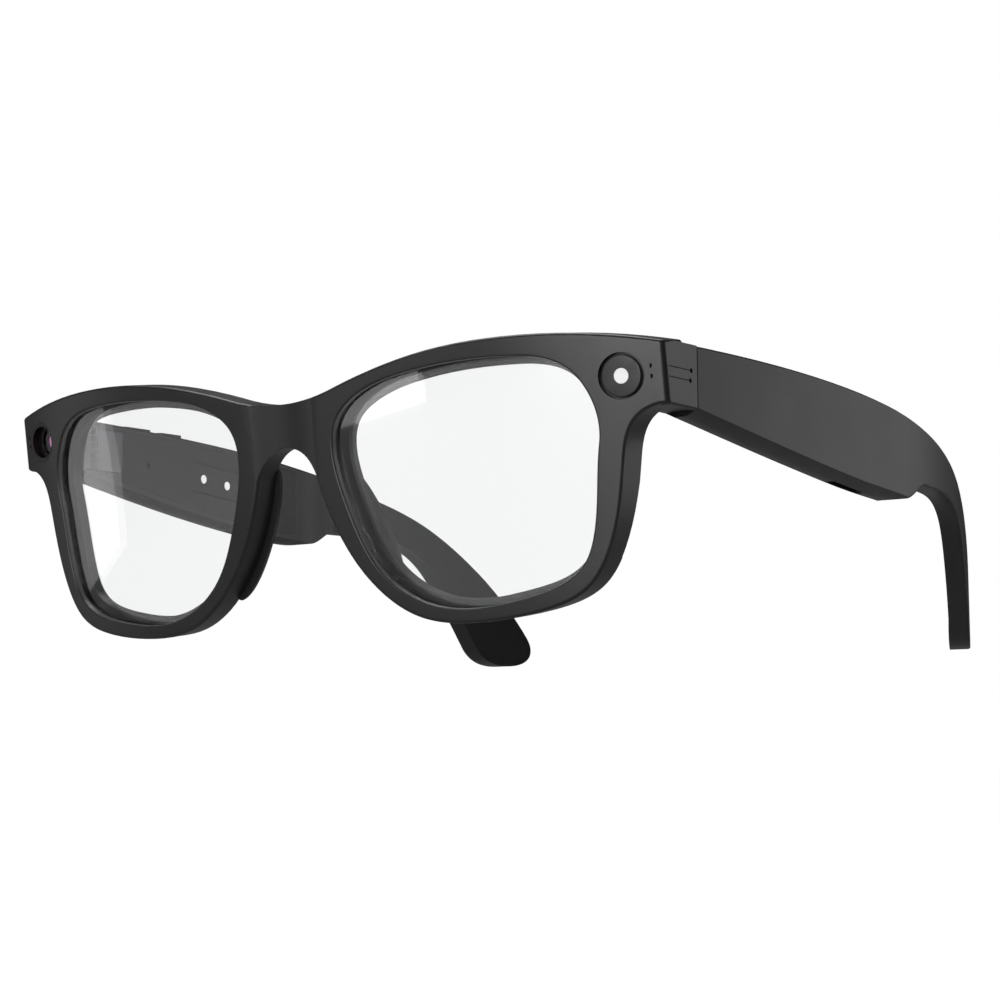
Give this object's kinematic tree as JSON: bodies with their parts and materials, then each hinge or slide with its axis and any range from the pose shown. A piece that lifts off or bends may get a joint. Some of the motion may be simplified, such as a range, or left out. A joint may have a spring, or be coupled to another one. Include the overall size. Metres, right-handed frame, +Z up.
{
  "type": "smart glasses",
  "caption": "Black smart glasses with clear lenses, folding temples, a camera and an indicator light in the endpieces, and press buttons on one temple.",
  "frame": {"origin": "centre of the footprint of the open glasses, on the surface they stand on", "axes": "+X towards the wearer's left, +Y from the front back along the temples, +Z up"},
  "size_m": [0.1504, 0.1579, 0.0475],
  "materials": {
    "frame": "satin black",
    "nose_pad": "satin black",
    "lens": "clear",
    "flex": "amber film",
    "cap": "satin black",
    "diffuser": "white",
    "board": "green",
    "ring": "polished black",
    "camera_glass": "coated",
    "barrel": "matt black",
    "stud": "black",
    "hinge": "dark steel",
    "pin": "steel",
    "temple": "satin black",
    "cover": "satin black",
    "core": "steel",
    "speaker": "black",
    "mesh": "black mesh",
    "battery": "foil",
    "contact": "polished",
    "switch": "black",
    "button": "satin black"
  },
  "bodies": {
    "front": {"front_frame": "frame", "left_lens": "lens", "right_lens": "lens", "left_nose_pad": "nose_pad", "right_nose_pad": "nose_pad", "brow_cover": "frame", "brow_flex": "flex", "indicator_cap": "cap", "indicator_diffuser": "diffuser", "indicator_board": "board", "camera_ring": "ring", "camera_window": "camera_glass", "camera_barrel": "barrel", "camera_lens": "camera_glass", "camera_sensor": "board", "left_accent_studs": "stud", "right_accent_studs": "stud", "left_front_leaf": "hinge", "right_front_leaf": "hinge", "left_hinge_pin": "pin", "right_hinge_pin": "pin"},
    "left_temple": {"left_temple_leaf": "hinge", "left_temple_shell": "temple", "left_temple_cover": "cover", "left_tip_core": "core", "left_speaker": "speaker", "left_speaker_mesh": "mesh", "left_temple_flex": "flex", "battery": "battery", "charge_board": "board"},
    "right_temple": {"right_temple_leaf": "hinge", "right_temple_shell": "temple", "right_temple_cover": "cover", "right_tip_core": "core", "right_speaker": "speaker", "right_speaker_mesh": "mesh", "right_temple_flex": "flex", "main_board": "board", "touch_sensor": "flex", "charging_contacts": "contact", "microphone_mesh": "mesh", "button_switches": "switch"},
    "front_button": {"front_button": "button"},
    "rear_button": {"rear_button": "button"}
  },
  "joints": [
    {"name": "left_temple_fold", "type": "hinge", "parent": "front", "child": "left_temple", "pos_m": [0.0646, -0.05875, 0.039], "axis": [0, 0, 1], "range_deg": [0, 88]},
    {"name": "right_temple_fold", "type": "hinge", "parent": "front", "child": "right_temple", "pos_m": [-0.0646, -0.05875, 0.039], "axis": [0, 0, -1], "range_deg": [0, 70]},
    {"name": "front_button_press", "type": "slide", "parent": "right_temple", "child": "front_button", "axis": [0, 0, -1], "range_m": [0, 0.0005], "stiffness_N_per_m": 1500},
    {"name": "rear_button_press", "type": "slide", "parent": "right_temple", "child": "rear_button", "axis": [0, 0, -1], "range_m": [0, 0.0005], "stiffness_N_per_m": 1500}
  ]
}
